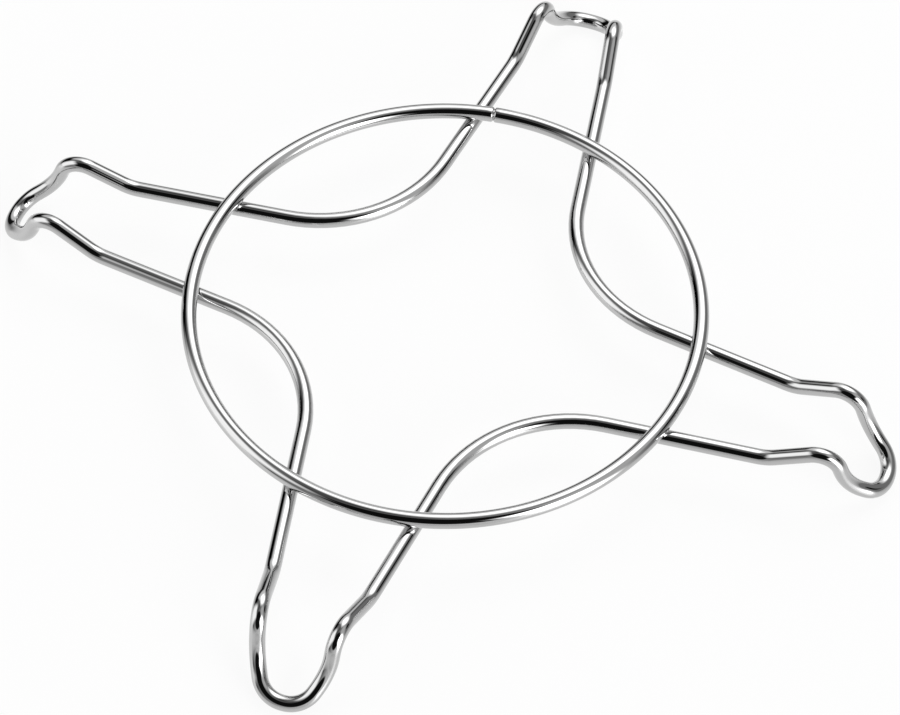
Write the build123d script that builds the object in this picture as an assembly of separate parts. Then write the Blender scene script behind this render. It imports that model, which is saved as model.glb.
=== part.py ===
from build123d import *

import os
from dataclasses import dataclass
from math import cos, degrees, radians, sin, sqrt, tan

# Pan support for a gas hob. A round wire ring carries the small pan. It is welded on top of one
# closed wire bent into a four-armed star, whose arms rise to a hump, drop past the bars of the hob
# and stand on their rounded ends.
# The origin is on the surface that the support stands on, under the middle of the ring.
# +Z is up, +X points along the right arm and the other arms follow anticlockwise.

# Wire and ring
WIRE = 3.0
RING_OUTSIDE = 100.0

# Welds where the two wires cross: how far each pair is pressed together, and the metal that
# squeezes out as a waisted collar
SET_DOWN = 0.15
NUGGET_WAIST = 2.3
NUGGET_FLANGE = 2.9
NUGGET_HEIGHT = 1.2

# Ring joint: the wire's rounded ends stand this far apart, on weld metal a little below the surface
JOINT_HEADING = 98.0
JOINT_GAP = 0.2
JOINT_WELD_DIAMETER = 2.5
END_ROUND = 0.35

# Star, seen from above: how far left of the ring's middle each arm's axis passes, from the axis to
# each leg's centreline at the ring, how the legs lean in towards the tip, and how far out from the
# ring's middle the ramps start. The right and left arms are of one width, the back and front arms
# of another
RIGHT_OFFSET = -0.6
BACK_OFFSET = -1.2
LEFT_OFFSET = -0.1
FRONT_OFFSET = -2.6
SIDE_HALF_GAP = 11.0
END_HALF_GAP = 12.1
SIDE_LEAN = 6.4
END_LEAN = 9.0
RIGHT_BEND_AT = 67.1
BACK_BEND_AT = 64.6
LEFT_BEND_AT = 68.0
FRONT_BEND_AT = 64.7
CORNER_BEND = 27.4

# Star: side view of every arm, measured along and above its flat legs
RAMP_RUN = 12.0
HUMP_RISE = 5.9
DROP_RUN = 3.4
KNEE_FALL = 3.1
TOE_RUN = 5.9
TOE_FALL = 7.5
TOE_WIDTH = 7.6
RAMP_BEND = 7.7
HUMP_BEND = 4.2
KNEE_BEND = 11.5
TOE_BEND = 5.6

# Part of the shorter run beside a corner that its bend may take
BEND_SHARE = 0.48


@dataclass(frozen=True)
class Arm:
    """One arm of the star, as the wire is bent on this piece."""

    heading: float   # degrees from +X that the arm's axis points
    offset: float    # how far left of the ring's middle the axis passes
    half_gap: float  # from the axis to each leg's centreline, at the ring
    lean: float      # degrees that each leg leans in towards the tip
    bend_at: float   # distance from the ring's middle to the start of the ramp


# Right, back, left and front
ARMS = (
    Arm(-1.2, RIGHT_OFFSET, SIDE_HALF_GAP, SIDE_LEAN, RIGHT_BEND_AT),
    Arm(89.9, BACK_OFFSET, END_HALF_GAP, END_LEAN, BACK_BEND_AT),
    Arm(179.6, LEFT_OFFSET, SIDE_HALF_GAP, SIDE_LEAN, LEFT_BEND_AT),
    Arm(271.3, FRONT_OFFSET, END_HALF_GAP, END_LEAN, FRONT_BEND_AT),
)

# Worked out from the sizes above
WIRE_RADIUS = WIRE / 2
RING_RADIUS = (RING_OUTSIDE - WIRE) / 2
STAR_LEVEL = TOE_FALL + WIRE_RADIUS
RING_LEVEL = STAR_LEVEL + WIRE - SET_DOWN
WELD_LEVEL = (STAR_LEVEL + RING_LEVEL) / 2
TIP_BENDS = (RAMP_BEND, HUMP_BEND, KNEE_BEND, TOE_BEND)


def leg_spread(arm, along):
    """Distance from an arm's axis to each of its legs, at a distance along the axis."""
    ring_at = sqrt(RING_RADIUS ** 2 - arm.half_gap ** 2)
    return arm.half_gap - (along - ring_at) * tan(radians(arm.lean))


def place(arm, along, across, up=0.0):
    """A point given along, across and above an arm's flat legs, in the part's own frame."""
    turn = radians(arm.heading)
    across += arm.offset
    return Vector(along * cos(turn) - across * sin(turn),
                  along * sin(turn) + across * cos(turn),
                  STAR_LEVEL + up)


def leg_point(arm, side, along, up=0.0):
    """A point on the left (+1) or right (-1) leg's centreline."""
    return place(arm, along, side * leg_spread(arm, along), up)


def crossing(arm, side):
    """Where one leg's centreline passes under the ring's."""
    slope = -side * tan(radians(arm.lean))
    start = arm.offset + side * leg_spread(arm, 0)
    root = sqrt(RING_RADIUS ** 2 * (1 + slope ** 2) - start ** 2)
    along = (root - start * slope) / (1 + slope ** 2)
    return leg_point(arm, side, along)


def inner_corner(arm, following):
    """Where one arm's left leg would meet the next arm's right leg."""
    left = Axis(leg_point(arm, 1, 0), leg_point(arm, 1, 1) - leg_point(arm, 1, 0))
    right = Axis(leg_point(following, -1, 0), leg_point(following, -1, 1) - leg_point(following, -1, 0))
    return left.intersect(right)


def half_tip(arm, side):
    """Corner points of one leg, from the foot of the ramp to the end of the toe."""
    hump_at = arm.bend_at + RAMP_RUN
    knee_at = hump_at + DROP_RUN
    return [leg_point(arm, side, arm.bend_at),
            leg_point(arm, side, hump_at, HUMP_RISE),
            leg_point(arm, side, knee_at, -KNEE_FALL),
            place(arm, knee_at + TOE_RUN, side * TOE_WIDTH / 2, -TOE_FALL)]


def bend_radius(before, corner, after, wanted):
    """The wanted bend, or the largest that the two runs beside the corner leave room for."""
    turn = radians((corner - before).get_angle(after - corner))
    shorter = min((corner - before).length, (after - corner).length)
    return min(wanted, BEND_SHARE * shorter / tan(turn / 2))


def star_path():
    """The star's closed centreline: straight runs joined by tangent bends."""
    corners = []
    for index, arm in enumerate(ARMS):
        following = ARMS[(index + 1) % len(ARMS)]
        right = zip(half_tip(arm, -1), TIP_BENDS)
        left = zip(half_tip(arm, 1), TIP_BENDS)
        corners += [*right, *reversed(list(left)), (inner_corner(arm, following), CORNER_BEND)]
    points = [point for point, _ in corners]
    radii = [bend_radius(points[i - 1], points[i], points[(i + 1) % len(points)], wanted)
             for i, (_, wanted) in enumerate(corners)]
    return FilletPolyline(*points, radius=radii, close=True)


def nuggets():
    """The eight welds, anticlockwise from the right leg of the right arm."""
    waist, flange, half = NUGGET_WAIST / 2, NUGGET_FLANGE / 2, NUGGET_HEIGHT / 2
    outline = (Polyline((flange, -half), (0, -half), (0, half), (flange, half))
               + ThreePointArc((flange, half), (waist, 0), (flange, -half)))
    collar = revolve(make_face(Plane.XZ * outline), Axis.Z)
    points = [crossing(arm, side) for arm in ARMS for side in (-1, 1)]
    return [Pos(point.X, point.Y, WELD_LEVEL) * collar for point in points]


def joint_angle():
    """Degrees of the ring that the gap between its ends takes up."""
    return degrees(JOINT_GAP / RING_RADIUS)


def ring_arc(diameter, start, sweep_angle):
    """A stretch of round bar along the ring's centreline."""
    section = Plane.XZ * Pos(RING_RADIUS, RING_LEVEL) * Circle(diameter / 2)
    return Rot(0, 0, start) * revolve(section, Axis.Z, revolution_arc=sweep_angle)


def ring(welds):
    """The ring: one wire rolled round, with its ends' edges rounded and a seat at each weld."""
    gap = joint_angle()
    wire = ring_arc(WIRE, JOINT_HEADING + gap / 2, 360 - gap)
    ends = wire.faces().filter_by(GeomType.PLANE)
    wire = fillet(ends.edges(), END_ROUND)
    return wire - welds


def ring_joint():
    """Weld metal that fills the gap between the ring's ends."""
    gap = joint_angle()
    return ring_arc(JOINT_WELD_DIAMETER, JOINT_HEADING - gap / 2, gap)


def star(welds):
    """The four-armed star: one closed wire, with a seat at each weld."""
    path = Wire(star_path().edges())
    section = Plane(origin=path @ 0, z_dir=path % 0) * Circle(WIRE_RADIUS)
    return sweep(section, path=path) - welds


def build():
    """Every sub-part under its own name."""
    welds = nuggets()
    parts = {"ring": ring(welds), "ring_joint_weld": ring_joint(), "star": star(welds)}
    parts.update({f"cross_weld_{number}": weld for number, weld in enumerate(welds, start=1)})
    return parts


os.makedirs("parts", exist_ok=True)
for name, shape in build().items():
    shape.label = name
    export_step(shape, f"parts/{name}.step")
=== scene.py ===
# %% [markdown]
# # A chromed wire pan support
# This stand lets a small pan or a coffee pot sit safely on a gas hob. It is two pieces of bright steel
# wire: a round ring that carries the pan, and a four-armed star underneath that rests on the hob's
# bars. They are welded where they cross, and the whole is then plated with nickel and chrome.
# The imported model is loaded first. It is the frame that every piece made here has to fit.

# %% Load the frame
from collections import namedtuple
from math import atan2, cos, pi, radians, sin, sqrt, tan

import bpy
from mathutils import Matrix, Vector


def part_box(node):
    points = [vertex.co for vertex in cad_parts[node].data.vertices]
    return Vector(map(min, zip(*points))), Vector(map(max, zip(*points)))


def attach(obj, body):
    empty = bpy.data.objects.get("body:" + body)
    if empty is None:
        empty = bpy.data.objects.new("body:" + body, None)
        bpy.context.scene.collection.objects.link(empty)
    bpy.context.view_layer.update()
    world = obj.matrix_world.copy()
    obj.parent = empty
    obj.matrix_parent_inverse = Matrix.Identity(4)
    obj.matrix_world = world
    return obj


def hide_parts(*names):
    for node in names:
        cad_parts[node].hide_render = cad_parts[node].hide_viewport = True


MM = 0.001

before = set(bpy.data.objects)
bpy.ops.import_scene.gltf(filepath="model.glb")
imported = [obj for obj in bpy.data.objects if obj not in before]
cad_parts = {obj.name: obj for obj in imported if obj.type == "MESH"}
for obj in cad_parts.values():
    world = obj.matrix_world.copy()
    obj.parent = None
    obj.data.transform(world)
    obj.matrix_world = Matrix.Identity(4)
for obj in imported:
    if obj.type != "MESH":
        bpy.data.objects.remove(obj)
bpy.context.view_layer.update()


def in_mm(metres):
    """Lengths in metres as millimetres, for printing."""
    return [round(value / MM, 2) for value in metres]


print("nodes:", sorted(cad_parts))

# %% [markdown]
# ## The camera
# Product pictures of flat things are taken from high up with a long lens, so that the far arm looks
# nearly as large as the near one. The camera stands 0.77 m away, looks down at 54 degrees and is
# turned about 19 degrees round from the front arm. It could be placed by its three coordinates, but
# it is placed by angles about the point it aims at, because an angle is easier to read off a
# picture than a place in space. The lamps are placed the same way later.

# %% The camera
UP = Vector((0, 0, 1))
CAMERA_AIM = Vector((4.7, -10.6, 11.9)) * MM
CAMERA_DISTANCE = 773.5 * MM
CAMERA_ROUND = radians(19.07)
CAMERA_DOWN = radians(53.75)
CAMERA_ROLL = radians(0.39)
CAMERA_LENS = 164.9


def direction_from(turn, height):
    """The way from the part to a place seen from it, turned from the front (-Y) towards +X."""
    return Vector((sin(turn) * cos(height), -cos(turn) * cos(height), sin(height)))


def looking_back(place, turn, height, roll=0.0):
    """The matrix of a camera or lamp that stands at a place seen that way, and faces the part."""
    return (Matrix.Translation(place) @ Matrix.Rotation(turn, 4, "Z")
            @ Matrix.Rotation(pi / 2 - height, 4, "X") @ Matrix.Rotation(roll, 4, "Z"))


bpy.ops.object.camera_add()
camera = bpy.context.active_object
camera_place = CAMERA_AIM + CAMERA_DISTANCE * direction_from(CAMERA_ROUND, CAMERA_DOWN)
camera.matrix_world = looking_back(camera_place, CAMERA_ROUND, CAMERA_DOWN, CAMERA_ROLL)
camera.data.lens = CAMERA_LENS
bpy.context.scene.camera = camera
print("camera at, mm:", in_mm(camera_place))

# %% [markdown]
# ## Colours and nodes
# Colours are written as they look on a screen and turned into the linear values that light adds up
# in, by the screen standard's own curve. One small function adds a shader node, so that each
# material below reads as a short list of what it is made of. The nodes could be placed by hand in
# the editor, but then nobody could read from the script what the finish is.

# %% Colours and nodes
WHITE = "#FFFFFF"


def linear(hex_colour):
    """An sRGB hex colour as linear red, green, blue and alpha."""
    values = [int(hex_colour[i:i + 2], 16) / 255 for i in (1, 3, 5)]
    return (*[v / 12.92 if v <= 0.04045 else ((v + 0.055) / 1.055) ** 2.4 for v in values], 1.0)


def add_node(tree, kind, values=None, links=None, **settings):
    """Adds a node. Values go on its sockets, links join its sockets to earlier outputs."""
    node = tree.nodes.new(kind)
    for name, value in settings.items():
        setattr(node, name, value)
    for name, value in (values or {}).items():
        node.inputs[name].default_value = value
    for name, output in (links or {}).items():
        tree.links.new(output, node.inputs[name])
    return node


def empty_tree(owner):
    """The owner's node tree, switched on and cleared."""
    owner.use_nodes = True
    owner.node_tree.nodes.clear()
    return owner.node_tree


print("a grey of #808080 returns", round(linear("#808080")[0], 2), "of the light, not a half")

# %% [markdown]
# ## Bright chrome plate
# The wire is cold drawn steel with about 20 micrometres of bright nickel and a fraction of a
# micrometre of chromium on top. Chromium returns a bit over half of the light, nearly alike in all
# colours, so it is a neutral mirror that looks darker than silver. It could be made as one even
# metal, but that looks too clean. The nickel bath levels the drawing marks and still leaves the
# surface very slightly wavy, so a noise on the bump makes the long reflections swim a little. A
# second, wider noise varies colour and roughness, as where the bath left a faint haze. Weld metal
# takes the plate less smoothly than drawn wire, so it is the same plate with more roughness.

# %% Bright chrome plate
CHROME = "#BEBEBE"
CHROME_HAZE = "#B8B8B8"
HAZE_PATCH = 6 * MM
HAZE_DETAIL = 3.0
PLATE_WAVE = 2.5 * MM
PLATE_WAVE_HEIGHT = 0.0012 * MM
PLATE_WAVE_DETAIL = 1.0
WIRE_ROUGHNESS = (0.02, 0.06)
WELD_ROUGHNESS = (0.10, 0.18)


def chrome_plate(name, roughness):
    """Chromium over bright nickel. Roughness is (clearest, haziest)."""
    material = bpy.data.materials.new(name)
    tree = empty_tree(material)
    spot = add_node(tree, "ShaderNodeTexCoord").outputs["Object"]
    haze = add_node(tree, "ShaderNodeTexNoise", {"Scale": 1 / HAZE_PATCH, "Detail": HAZE_DETAIL},
                    {"Vector": spot}).outputs["Fac"]
    wave = add_node(tree, "ShaderNodeTexNoise", {"Scale": 1 / PLATE_WAVE, "Detail": PLATE_WAVE_DETAIL},
                    {"Vector": spot}).outputs["Fac"]
    colour = add_node(tree, "ShaderNodeMix", {"A": linear(CHROME), "B": linear(CHROME_HAZE)},
                      {"Factor": haze}, data_type="RGBA")
    rough = add_node(tree, "ShaderNodeMapRange", {"To Min": roughness[0], "To Max": roughness[1]},
                     {"Value": haze})
    bump = add_node(tree, "ShaderNodeBump", {"Strength": 1.0, "Distance": PLATE_WAVE_HEIGHT},
                    {"Height": wave})
    shader = add_node(tree, "ShaderNodeBsdfPrincipled", {"Metallic": 1.0},
                      {"Base Color": colour.outputs["Result"], "Roughness": rough.outputs["Result"],
                       "Normal": bump.outputs["Normal"]})
    add_node(tree, "ShaderNodeOutputMaterial", links={"Surface": shader.outputs["BSDF"]})
    return material


plate_on_wire = chrome_plate("bright_chrome_on_drawn_wire", WIRE_ROUGHNESS)
plate_on_weld = chrome_plate("bright_chrome_on_weld_metal", WELD_ROUGHNESS)
print("materials:", plate_on_wire.name, plate_on_weld.name)
print("the chrome returns", round(linear(CHROME)[0], 2), "of the light")

# %% [markdown]
# ## Sizes that the two wires share
# Both wires come off the same coil. The sizes could be typed in, but the ring's diameter, the
# wire's thickness and the ring's level are read from the frame's own ring, so that they can't
# differ from it. The star lies one wire lower, less the little that welding pressed them together.

# %% Sizes that the two wires share
ring_low, ring_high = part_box("ring")
WIRE = ring_high[2] - ring_low[2]
WIRE_RADIUS = WIRE / 2
RING_RADIUS = (ring_high[0] - ring_low[0] - WIRE) / 2
RING_LEVEL = (ring_high[2] + ring_low[2]) / 2
SET_DOWN = 0.15 * MM
STAR_LEVEL = RING_LEVEL - WIRE + SET_DOWN
print("wire and ring radius, mm:", in_mm((WIRE, RING_RADIUS)))
print("levels of ring and star, mm:", in_mm((RING_LEVEL, STAR_LEVEL)))

# %% [markdown]
# ## Bending wire in Blender
# A wire bender does two things: it feeds wire straight, and it bends what sticks out round a pin.
# Extrude and spin do the same to the open end of a mesh tube, so the star is made as the real one
# is, run by run and bend by bend. A curve with a round bevel would be quicker, but its bends are
# blends between points, while a spin gives the true arc of the pin. A short collar of wire is fed
# before and after each bend, which keeps the straight runs' shading straight.

# %% Bending wire in Blender
WIRE_SIDES = 40
HOLD = 0.35 * MM
SHORTEST_HELD_RUN = 3 * HOLD
BEND_STEP = radians(4)
FEWEST_STEPS = 3


def cut_end(place, ahead, radius=WIRE_RADIUS):
    """The open end of a wire: a circle across its direction. It is left in edit mode, selected."""
    bpy.ops.object.select_all(action="DESELECT")
    turn = UP.rotation_difference(ahead).to_euler()
    bpy.ops.mesh.primitive_circle_add(vertices=WIRE_SIDES, radius=radius, location=place, rotation=turn)
    bpy.ops.object.transform_apply(location=True, rotation=True, scale=True)
    bpy.ops.object.mode_set(mode="EDIT")
    bpy.ops.mesh.select_mode(type="EDGE")
    bpy.ops.mesh.select_all(action="SELECT")


def feed(ahead, length):
    """Straight wire out of the open end."""
    bpy.ops.mesh.extrude_region_move(TRANSFORM_OT_translate={"value": ahead * length})


def feed_run(ahead, length):
    """A straight run, with a short collar at each end where there is room for them."""
    held = length > SHORTEST_HELD_RUN
    for stretch in (HOLD, length - 2 * HOLD, HOLD) if held else (length,):
        feed(ahead, stretch)


def bend(pin, axis, turn, step=BEND_STEP):
    """The open end carried round a pin. Spin turns the left-handed way, so the axis is reversed."""
    steps = max(FEWEST_STEPS, round(turn / step))
    bpy.ops.mesh.spin(steps=steps, angle=turn, center=pin, axis=-axis)


flat_depth = WIRE_RADIUS * (1 - cos(pi / WIRE_SIDES))
print("the wire's flats lie under its true round by, mm:", round(flat_depth / MM, 4))

# %% [markdown]
# ## The star's arms
# Each arm is two legs that lean in towards a hairpin tip. Seen from the side, a leg climbs a ramp to
# a hump that keeps the pan from sliding, drops past the hob's bar and ends in a rounded toe. Each
# corner of that line is given as a point and the radius of the pin it is bent round. Four copies of
# one arm would be less work, but this stand is bent by hand in a jig, so its arms differ a little
# in heading, place and length, and so they do here. An arm's axis points along its heading and
# passes the ring's middle by its offset. Its legs stand half_gap from the axis at the ring, lean in
# towards the tip, and start their ramps bend_at from the middle.

# %% The star's arms
Arm = namedtuple("Arm", "heading offset half_gap lean bend_at")

# The right and left arms are of one width, the back and front arms of another
SIDE_HALF_GAP = 11.0 * MM
END_HALF_GAP = 12.1 * MM
SIDE_LEAN = radians(6.4)
END_LEAN = radians(9.0)

# Right, back, left and front
ARMS = (
    Arm(radians(-1.2), -0.6 * MM, SIDE_HALF_GAP, SIDE_LEAN, 67.1 * MM),
    Arm(radians(89.9), -1.2 * MM, END_HALF_GAP, END_LEAN, 64.6 * MM),
    Arm(radians(179.6), -0.1 * MM, SIDE_HALF_GAP, SIDE_LEAN, 68.0 * MM),
    Arm(radians(271.3), -2.6 * MM, END_HALF_GAP, END_LEAN, 64.7 * MM),
)


def arm_point(arm, along, across, up=0.0):
    """A point given along, across and above an arm's flat legs."""
    flat = Matrix.Rotation(arm.heading, 3, "Z") @ Vector((along, across + arm.offset, 0))
    return flat + UP * (STAR_LEVEL + up)


def leg_point(arm, side, along, up=0.0):
    """A point on the left (+1) or right (-1) leg's centreline."""
    ring_at = sqrt(RING_RADIUS ** 2 - arm.half_gap ** 2)
    return arm_point(arm, along, side * (arm.half_gap - (along - ring_at) * tan(arm.lean)), up)


for arm in ARMS:
    print("an arm's left leg starts its ramp at, mm:", in_mm(leg_point(arm, 1, arm.bend_at)))

# %% [markdown]
# ## The star's corners
# The wire runs out along an arm's right leg and back along its left one, and turns into the next arm
# inside the ring. The points of a tip are sizes of the jig and the same on all arms. The corner
# inside the ring isn't: it could be measured on each piece, but it has to lie where two legs would
# meet, so it is worked out from them.

# %% The star's corners
RAMP_RUN = 12.0 * MM
HUMP_RISE = 5.9 * MM
DROP_RUN = 3.4 * MM
KNEE_FALL = 3.1 * MM
TOE_RUN = 5.9 * MM
TOE_FALL = STAR_LEVEL - WIRE_RADIUS
TOE_WIDTH = 7.6 * MM
TIP_PINS = (7.7 * MM, 4.2 * MM, 11.5 * MM, 5.6 * MM)
CORNER_PIN = 27.4 * MM


def half_tip(arm, side):
    """The ramp's foot, the hump, the knee and the toe's corner of one leg, with their pins."""
    hump_at = arm.bend_at + RAMP_RUN
    knee_at = hump_at + DROP_RUN
    points = (leg_point(arm, side, arm.bend_at),
              leg_point(arm, side, hump_at, HUMP_RISE),
              leg_point(arm, side, knee_at, -KNEE_FALL),
              arm_point(arm, knee_at + TOE_RUN, side * TOE_WIDTH / 2, -TOE_FALL))
    return list(zip(points, TIP_PINS))


def leg_line(arm, side):
    """A leg's centreline, as a point on it and a way along it."""
    start = leg_point(arm, side, 0)
    return start, leg_point(arm, side, RING_RADIUS) - start


def inner_corner(arm, following):
    """Where one arm's left leg, carried inwards, meets the next arm's right leg."""
    left, left_way = leg_line(arm, 1)
    right, right_way = leg_line(following, -1)
    return left + left_way * ((right - left).cross(right_way).z / left_way.cross(right_way).z)


corners = []
for arm, following in zip(ARMS, ARMS[1:] + ARMS[:1]):
    corners += half_tip(arm, -1) + half_tip(arm, 1)[::-1]
    corners.append((inner_corner(arm, following), CORNER_PIN))
print("corners in the star:", len(corners))

# %% [markdown]
# ## From corners to bends
# A bender works with the point where each bend starts, the pin, the axis and the angle. They come
# from a corner and its two neighbours. A wire with sharp corners could be rounded by a subdivision
# surface instead, but that thins the wire where it turns. Where two bends stand so close that there
# is no room for both, the pin is made smaller, and a little straight wire is left between them.

# %% From corners to bends
Bend = namedtuple("Bend", "start end pin axis turn")
BEND_SHARE = 0.48


def bend_at_corner(before, corner, after, pin_radius):
    """The bend at a corner. It takes up to BEND_SHARE of the shorter run beside it."""
    coming, going = corner - before, after - corner
    turn = coming.angle(going)
    reach = min(pin_radius * tan(turn / 2), BEND_SHARE * min(coming.length, going.length))
    axis = coming.cross(going).normalized()
    start = corner - coming.normalized() * reach
    end = corner + going.normalized() * reach
    pin = start + axis.cross(coming.normalized()) * reach / tan(turn / 2)
    return Bend(start, end, pin, axis, turn)


points = [point for point, pin_radius in corners]
points_before = points[-1:] + points[:-1]
points_after = points[1:] + points[:1]
bends = [bend_at_corner(before, point, after, pin_radius)
         for before, (point, pin_radius), after in zip(points_before, corners, points_after)]
print("tightest pin, mm:", in_mm([min((one.start - one.pin).length for one in bends)]))

# %% [markdown]
# ## Bend the star
# The work starts in the middle of a straight run and goes once round. That leaves a gap with an open
# rim on each side, as the real wire has before its two ends are welded. The rims could be moved onto
# each other and merged, but a bridge between them closes the gap without moving a point. A rim is
# easy to find: its edges are the only ones with a face on one side alone.

# %% Bend the star


def select_rims():
    """Selects the edges that have a face on one side alone."""
    bpy.ops.mesh.select_all(action="DESELECT")
    bpy.ops.mesh.select_non_manifold(extend=False, use_wire=False, use_boundary=True,
                                     use_multi_face=False, use_non_contiguous=False, use_verts=False)


run_start, run_end = bends[-1].end, bends[0].start
ahead = (run_end - run_start).normalized()
wire_end = (run_start + run_end) / 2
wire_length = 0.0
cut_end(wire_end, ahead)
for one in bends:
    run = one.start - wire_end
    feed_run(run.normalized(), run.length)
    bend(one.pin, one.axis, one.turn)
    wire_end = one.end
    wire_length += run.length + one.turn * (one.start - one.pin).length
feed(ahead, HOLD)
select_rims()
bpy.ops.mesh.bridge_edge_loops()
print("wire in the star, mm:", in_mm([wire_length + (run_end - run_start).length / 2]))

# %% [markdown]
# ## Finish a piece
# Spin can leave doubled points and can turn a skin inside out. So each piece has its doubles merged
# and its faces turned outwards before it is shaded smooth. Smooth shading all over would blur the
# crisp rims of a weld, so edges sharper than an angle stay hard.
# Then the piece is plated and takes the place of its CAD node.

# %% Finish a piece
MERGE_WITHIN = 0.002 * MM
SMOOTH_UP_TO = radians(40)


def finish_mesh():
    """A closed skin that faces outwards and is smooth. It ends edit mode and returns the piece."""
    bpy.ops.mesh.select_all(action="SELECT")
    bpy.ops.mesh.remove_doubles(threshold=MERGE_WITHIN)
    bpy.ops.mesh.normals_make_consistent(inside=False)
    bpy.ops.object.mode_set(mode="OBJECT")
    bpy.ops.object.shade_smooth_by_angle(angle=SMOOTH_UP_TO)
    return bpy.context.active_object


def take_place(piece, name, node, material):
    """Names and plates a piece, and lets it stand for its CAD node."""
    piece.name = name
    piece.data.name = name
    piece.data.materials.append(material)
    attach(piece, "root")
    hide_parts(node)
    print(name, "faces:", len(piece.data.polygons))


take_place(finish_mesh(), "star_wire", "star", plate_on_wire)

# %% [markdown]
# ## Roll the ring
# The ring is one length of the same wire rolled round until its ends nearly touch. The ends are
# dressed round before they are welded, so the joint shows as a bright notch. A torus, or a full
# circle made by one spin, would have no joint. So the spin stops short of the gap, and the ends are
# closed and bevelled.

# %% Roll the ring
JOINT_GAP = 0.2 * MM
END_ROUND = 0.35 * MM
END_ROUND_SEGMENTS = 4
RING_STEP = radians(1.5)


def middle_of(node):
    """The middle of a CAD node's box."""
    low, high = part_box(node)
    return (Vector(low) + Vector(high)) / 2


def on_ring(heading):
    """A point on the ring's centreline and the way the wire runs there."""
    outward = Vector((cos(heading), sin(heading), 0))
    return outward * RING_RADIUS + UP * RING_LEVEL, UP.cross(outward)


joint = middle_of("ring_joint_weld")
joint_heading = atan2(joint.y, joint.x)
gap_angle = JOINT_GAP / RING_RADIUS
start, ahead = on_ring(joint_heading + gap_angle / 2)
cut_end(start, ahead)
bend(UP * RING_LEVEL, UP, 2 * pi - gap_angle, RING_STEP)
select_rims()
bpy.ops.mesh.edge_face_add()
bpy.ops.mesh.bevel(offset=END_ROUND, segments=END_ROUND_SEGMENTS, affect="EDGES")
take_place(finish_mesh(), "ring_wire", "ring", plate_on_wire)

# %% [markdown]
# ## The ring's joint
# The joint is closed with weld metal, which lies sunk in the valley between the two rounded ends. It
# is a short collar, wide at its rims and hollow in between. It could be a plain cylinder, but the
# straight side of one catches a single flat line of light. So the collar grows ring of points by
# ring of points along its axis, each scaled to its place on a smooth hollow.

# %% The ring's joint
COLLAR_STEPS = 8
VALLEY_LENGTH = 0.34 * MM
VALLEY_RIM = 2.7 * MM
VALLEY_WAIST = 2.4 * MM


def waisted_collar(middle, axis, length, rim, waist):
    """A closed collar that is widest at its two rims and hollow in between."""
    step = length / COLLAR_STEPS
    centre = middle - axis * length / 2
    cut_end(centre, axis, rim / 2)
    widths = [waist + (rim - waist) * (2 * i / COLLAR_STEPS - 1) ** 2 for i in range(COLLAR_STEPS + 1)]
    for width, next_width in zip(widths, widths[1:]):
        feed(axis, step)
        centre = centre + axis * step
        bpy.ops.transform.resize(value=(next_width / width,) * 3, center_override=centre)
    select_rims()
    bpy.ops.mesh.edge_face_add()
    return finish_mesh()


joint_middle, joint_axis = on_ring(joint_heading)
valley = waisted_collar(joint_middle, joint_axis, VALLEY_LENGTH, VALLEY_RIM, VALLEY_WAIST)
take_place(valley, "ring_joint", "ring_joint_weld", plate_on_weld)

# %% [markdown]
# ## The crossings' welds
# Each crossing is welded by pressing the two wires together with current through them, and a little
# metal squeezes out as the same kind of collar, standing up. All eight could be grown like the first,
# but they are alike, so one is made and copied. Each copy has a mesh of its own, so that its move
# can be put into that mesh: the object of every finished piece sits at the origin.

# %% The crossings' welds
WELDS = 8
NUGGET_RIM = 2.4 * MM
NUGGET_WAIST = 1.7 * MM


def moved_copy(piece, way):
    """A copy of a piece with a mesh of its own, moved that way."""
    bpy.ops.object.select_all(action="DESELECT")
    piece.select_set(True)
    bpy.context.view_layer.objects.active = piece
    bpy.ops.object.duplicate()
    bpy.ops.transform.translate(value=way)
    bpy.ops.object.transform_apply(location=True, rotation=False, scale=False)
    return bpy.context.active_object


weld_nodes = [f"cross_weld_{number}" for number in range(1, WELDS + 1)]
weld_middles = [middle_of(node) for node in weld_nodes]
weld_low, weld_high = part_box(weld_nodes[0])
collar = waisted_collar(weld_middles[0], UP, weld_high[2] - weld_low[2], NUGGET_RIM, NUGGET_WAIST)
collars = [collar] + [moved_copy(collar, middle - weld_middles[0]) for middle in weld_middles[1:]]
for number, (weld, node) in enumerate(zip(collars, weld_nodes), start=1):
    take_place(weld, f"crossing_weld_{number}", node, plate_on_weld)

# %% [markdown]
# ## The floor's white sheet
# The stand is shown on a wide table of white laminate. It could be plain white paint, but it would
# look white only under lamps strong enough to burn out the chrome. So to the camera, to the chrome
# and through anything clear it is mostly plain white, whatever the lamps do. The rest of it is
# paint that the lamps light, and that part keeps the wires' soft shadow. Far from the part, where no
# shadow falls, the camera sees plain white only, or the floor would darken towards the horizon.

# %% The floor's white sheet
SHEET_PAINT = "#F7F7F7"
SHEET_ROUGHNESS = 0.5
SHEET_WHITE_SHARE = 0.9
SHADOW_FADE = (0.25, 0.8)


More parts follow.
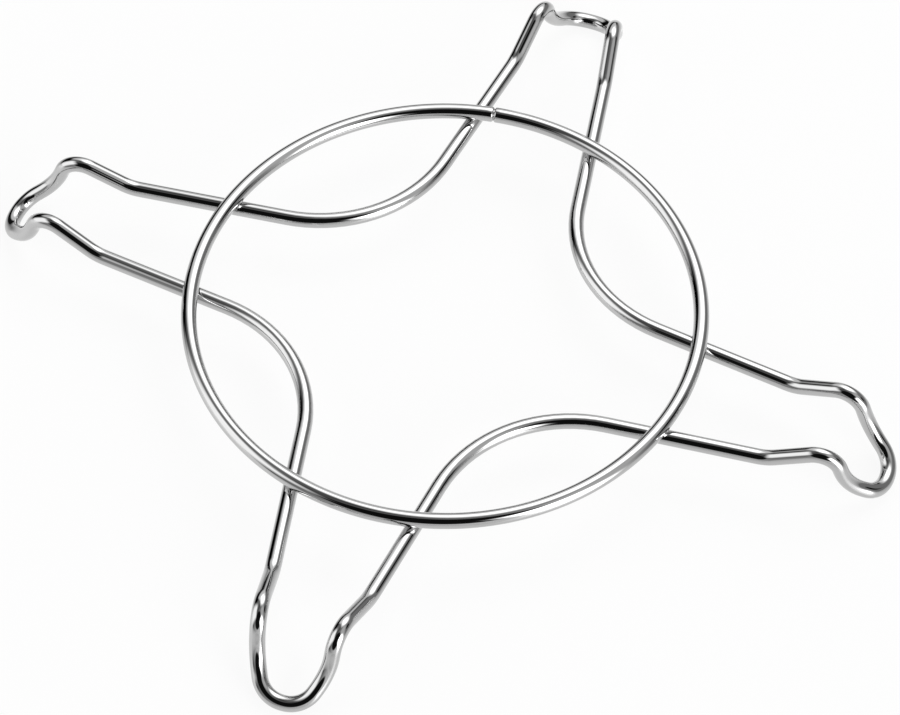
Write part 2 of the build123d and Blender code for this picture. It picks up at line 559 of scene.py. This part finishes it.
def white_sheet(tree, rays):
    """White paint, with plain white over most of it wherever it is looked at."""
    looked_at = rays["Is Camera Ray"]
    for kind in ("Is Glossy Ray", "Is Transmission Ray"):
        looked_at = add_node(tree, "ShaderNodeMath", links={0: looked_at, 1: rays[kind]},
                             operation="MAXIMUM").outputs[0]
    near = add_node(tree, "ShaderNodeMath", {1: SHEET_WHITE_SHARE}, {0: looked_at}, operation="MULTIPLY")
    spot = add_node(tree, "ShaderNodeTexCoord").outputs["Object"]
    away = add_node(tree, "ShaderNodeVectorMath", links={0: spot}, operation="LENGTH")
    beyond = add_node(tree, "ShaderNodeMapRange",
                      {"From Min": SHADOW_FADE[0], "From Max": SHADOW_FADE[1]},
                      {"Value": away.outputs["Value"]}, interpolation_type="SMOOTHSTEP")
    far = add_node(tree, "ShaderNodeMath", operation="MULTIPLY",
                   links={0: beyond.outputs[0], 1: rays["Is Camera Ray"]})
    share = add_node(tree, "ShaderNodeMath", operation="MAXIMUM",
                     links={0: near.outputs[0], 1: far.outputs[0]})
    paint = add_node(tree, "ShaderNodeBsdfDiffuse",
                     {"Color": linear(SHEET_PAINT), "Roughness": SHEET_ROUGHNESS})
    plain = add_node(tree, "ShaderNodeEmission", {"Color": linear(WHITE), "Strength": 1.0})
    sheet = add_node(tree, "ShaderNodeMixShader",
                     links={0: share.outputs[0], 1: paint.outputs[0], 2: plain.outputs[0]})
    return sheet.outputs[0]


print("the paint returns", round(linear(SHEET_PAINT)[0], 2), "of the light")

# %% [markdown]
# ## The floor's clear skin
# Laminate has a clear polished skin. It mirrors the lamps more the flatter it is looked along, and
# that gives the wires' undersides a soft change from light to dark, which a dull sheet couldn't.
# The picture shows no shine on the table itself, so the camera is left out and sees only the sheet.

# %% The floor's clear skin
SKIN_IOR = 1.45
SKIN_ROUGHNESS = 0.1


def clear_skin(tree, rays, sheet):
    """A polished skin over the sheet, for all but the camera."""
    gloss = add_node(tree, "ShaderNodeBsdfGlossy", {"Color": linear(WHITE), "Roughness": SKIN_ROUGHNESS})
    mirrored = add_node(tree, "ShaderNodeFresnel", {"IOR": SKIN_IOR})
    others = add_node(tree, "ShaderNodeMath", {0: 1.0}, {1: rays["Is Camera Ray"]}, operation="SUBTRACT")
    shine = add_node(tree, "ShaderNodeMath", operation="MULTIPLY",
                     links={0: mirrored.outputs[0], 1: others.outputs[0]})
    skin = add_node(tree, "ShaderNodeMixShader",
                    links={0: shine.outputs[0], 1: sheet, 2: gloss.outputs[0]})
    return skin.outputs[0]


straight_down = ((SKIN_IOR - 1) / (SKIN_IOR + 1)) ** 2
print("looked at straight down, the skin mirrors", round(straight_down, 3), "of the light")

# %% [markdown]
# ## Lay the floor
# The table is one flat disc under the toes. It could be a small square, but the chrome would show
# its edge, so it reaches out until its edge lies almost on the horizon.

# %% Lay the floor
FLOOR_RADIUS = 6.0
FLOOR_CORNERS = 64


def polished_white_laminate():
    """The table's material: the white sheet under its clear skin."""
    material = bpy.data.materials.new("polished_white_laminate")
    tree = empty_tree(material)
    rays = add_node(tree, "ShaderNodeLightPath").outputs
    skin = clear_skin(tree, rays, white_sheet(tree, rays))
    add_node(tree, "ShaderNodeOutputMaterial", links={"Surface": skin})
    return material


bpy.ops.object.select_all(action="DESELECT")
bpy.ops.mesh.primitive_circle_add(vertices=FLOOR_CORNERS, radius=FLOOR_RADIUS, fill_type="NGON")
floor = bpy.context.active_object
floor.name = "floor"
floor.data.materials.append(polished_white_laminate())
print("the floor is", 2 * FLOOR_RADIUS, "m across")

# %% [markdown]
# ## The lamps and their soft edges
# Chrome has no colour of its own: it shows the room. A large soft box behind and above draws the
# white line along every wire, panels at the left and at the front right light the flanks of the
# bends, and a pale board at the back fills the far edge. The lamps are placed by the angle at which
# the part sees them, because that decides where a reflection falls. A real soft box is brightest in
# its middle, and an even square of light would look cut out with scissors in the chrome. So each
# lamp's light falls off from a core to nothing at its edge. A lamp's own UV gives the place on it.

# %% The lamps and their soft edges
Lamp = namedtuple("Lamp", "name turn height wide tall roll core glow")
UV_MIDDLE = 0.5

# Degrees: turn from the camera's own direction, to its right, then height, width, tallness and roll.
# The core is a share of the lamp's width and tallness, and glow is how bright it is
LAMPS = (
    Lamp("softbox_overhead", 152, 54, 63, 68, -38, (0.05, 0.0), 4.0),
    Lamp("panel_left", -87, 25, 65, 75, -13, (0.31, 0.39), 1.75),
    Lamp("panel_right", 42, 17, 44, 61, 17, (0.1, 0.5), 6.0),
    Lamp("board_back", 184, 31, 66, 43, 35, (0.7, 0.44), 0.94),
)


def soft_edge(tree, core):
    """From 1 in the lamp's core to 0 at its edge."""
    spot = add_node(tree, "ShaderNodeTexCoord").outputs["UV"]
    sides = add_node(tree, "ShaderNodeSeparateXYZ", links={0: spot}).outputs
    falls = []
    for side, share in zip("XY", core):
        offset = add_node(tree, "ShaderNodeMath", {1: UV_MIDDLE}, {0: sides[side]}, operation="SUBTRACT")
        out = add_node(tree, "ShaderNodeMath", links={0: offset.outputs[0]}, operation="ABSOLUTE")
        fall = add_node(tree, "ShaderNodeMapRange",
                        {"From Min": UV_MIDDLE, "From Max": UV_MIDDLE * share},
                        {"Value": out.outputs[0]}, interpolation_type="SMOOTHSTEP")
        falls.append(fall.outputs[0])
    both = add_node(tree, "ShaderNodeMath", links={0: falls[0], 1: falls[1]}, operation="MULTIPLY")
    return both.outputs[0]


for lamp in LAMPS:
    kept = (1 + lamp.core[0]) / 2 * (1 + lamp.core[1]) / 2
    print(lamp.name, "keeps", round(kept, 2), "of an even lamp's light")

# %% [markdown]
# ## Hang the lamps
# The four lamps hang at one distance, and their sizes follow from the angles that they fill. They
# could be planes that glow, but an area lamp has its width, its height and its energy as settings,
# so that one loop hangs them all. The energy goes with the area, so that a lamp's glow doesn't change
# with its size. The camera doesn't see the lamps: they are there for the chrome and the floor.

# %% Hang the lamps
LAMP_DISTANCE = 1.2


def width_seen(degrees_wide):
    """How wide a lamp is that fills this angle at the lamps' distance."""
    return 2 * LAMP_DISTANCE * tan(radians(degrees_wide) / 2)


for lamp in LAMPS:
    turn = CAMERA_ROUND + radians(lamp.turn)
    height = radians(lamp.height)
    lamp_place = direction_from(turn, height) * LAMP_DISTANCE
    bpy.ops.object.light_add(type="AREA")
    light = bpy.context.active_object
    light.name = lamp.name
    light.matrix_world = looking_back(lamp_place, turn, height, radians(lamp.roll))
    light.visible_camera = False
    light.data.shape = "RECTANGLE"
    light.data.size = width_seen(lamp.wide)
    light.data.size_y = width_seen(lamp.tall)
    light.data.energy = lamp.glow * pi * light.data.size * light.data.size_y
    tree = empty_tree(light.data)
    glow = add_node(tree, "ShaderNodeEmission", links={"Strength": soft_edge(tree, lamp.core)})
    add_node(tree, "ShaderNodeOutputLight", links={"Surface": glow.outputs[0]})
    print(lamp.name, "is", round(light.data.size, 2), "by", round(light.data.size_y, 2), "m")

# %% [markdown]
# ## The grey room
# Beside the lamps, the chrome shows the room. A picture of a real room would bring its colours and
# its furniture into the wires. This one is plain grey, light towards the camera and towards the
# right, nearly black at the back and at the left, and a little darker overhead. The dot product of
# one slanting arrow with the way that a ray looks gives that slope, and a least level keeps it from
# falling below black.

# %% The grey room
ROOM_GREY = 0.31
ROOM_RIGHT = 0.41
ROOM_BACK = -0.49
ROOM_UP = -0.13
ROOM_DARKEST = 0.01

world = bpy.data.worlds.new("grey_studio")
bpy.context.scene.world = world
tree = empty_tree(world)
way = add_node(tree, "ShaderNodeTexCoord").outputs["Generated"]
to_right = direction_from(CAMERA_ROUND + pi / 2, 0)
to_back = direction_from(CAMERA_ROUND + pi, 0)
slope = ROOM_RIGHT * to_right + ROOM_BACK * to_back + ROOM_UP * UP
leaning = add_node(tree, "ShaderNodeVectorMath", {1: slope}, {0: way}, operation="DOT_PRODUCT")
grey = add_node(tree, "ShaderNodeMath", {1: ROOM_GREY}, {0: leaning.outputs["Value"]}, operation="ADD")
room = add_node(tree, "ShaderNodeMath", {1: ROOM_DARKEST}, {0: grey.outputs[0]}, operation="MAXIMUM")
for side, arrow in (("right", to_right), ("left", -to_right), ("back", to_back), ("front", -to_back)):
    print("the room's level,", side, round(max(ROOM_DARKEST, ROOM_GREY + slope.dot(arrow)), 2))

# %% [markdown]
# ## Cards and boards
# A photographer of chrome works with dark cards as much as with lamps. Here a black card round the
# lens draws the black line beside the white one. A black card low at the left, a grey one low at the
# right and a small black one above that draw the thin dark edges, and two boards high up, a grey one
# at the left and a pale one at the right, lift the inner flanks. They could be real cards in the
# scene, but then they would cast shadows and stand in the way of other views. So each is a round
# patch with a soft rim on the room itself, laid over the ones before it.

# %% Cards and boards
Card = namedtuple("Card", "name turn height inner outer level")

# Degrees: turn from the camera's own direction, to its right, then height, and the radii where the
# soft rim starts and ends
CARDS = (
    Card("black_round_the_lens", -6, 43, 31, 38, 0.008),
    Card("black_low_left", -105, 3, 41, 46, 0.0),
    Card("grey_low_right", 111, 4.5, 31, 49, 0.27),
    Card("small_black_right", 93, 22.5, 6, 12, 0.0),
    Card("grey_board_high_left", -121, 54.5, 4, 27, 0.25),
    Card("pale_board_high_right", 75, 52.5, 5, 24, 0.7),
)

level = room.outputs[0]
for card in CARDS:
    centre = direction_from(CAMERA_ROUND + radians(card.turn), radians(card.height))
    towards = add_node(tree, "ShaderNodeVectorMath", {1: centre}, {0: way}, operation="DOT_PRODUCT")
    patch = add_node(tree, "ShaderNodeMapRange",
                     {"From Min": cos(radians(card.outer)), "From Max": cos(radians(card.inner))},
                     {"Value": towards.outputs["Value"]}, interpolation_type="SMOOTHSTEP")
    laid = add_node(tree, "ShaderNodeMix", {"B": card.level},
                    {"Factor": patch.outputs["Result"], "A": level}, data_type="FLOAT")
    level = laid.outputs["Result"]
    print(card.name, "shows at level", card.level)

# %% [markdown]
# ## What the camera sees of the room
# The product stands on white, and a low view looks past the table's far edge. The room could be
# made white, but the chrome would lose its darks. So only the camera, looking straight at it, sees
# it plain white. The view transform is set to Standard, which shows colours as they are written.

# %% What the camera sees of the room
straight_on = add_node(tree, "ShaderNodeLightPath").outputs["Is Camera Ray"]
shown = add_node(tree, "ShaderNodeMath", links={0: level, 1: straight_on}, operation="MAXIMUM")
background = add_node(tree, "ShaderNodeBackground", {"Color": linear(WHITE)},
                      {"Strength": shown.outputs[0]})
add_node(tree, "ShaderNodeOutputWorld", links={"Surface": background.outputs[0]})
bpy.context.scene.view_settings.view_transform = "Standard"
print("nodes in the room:", len(tree.nodes))
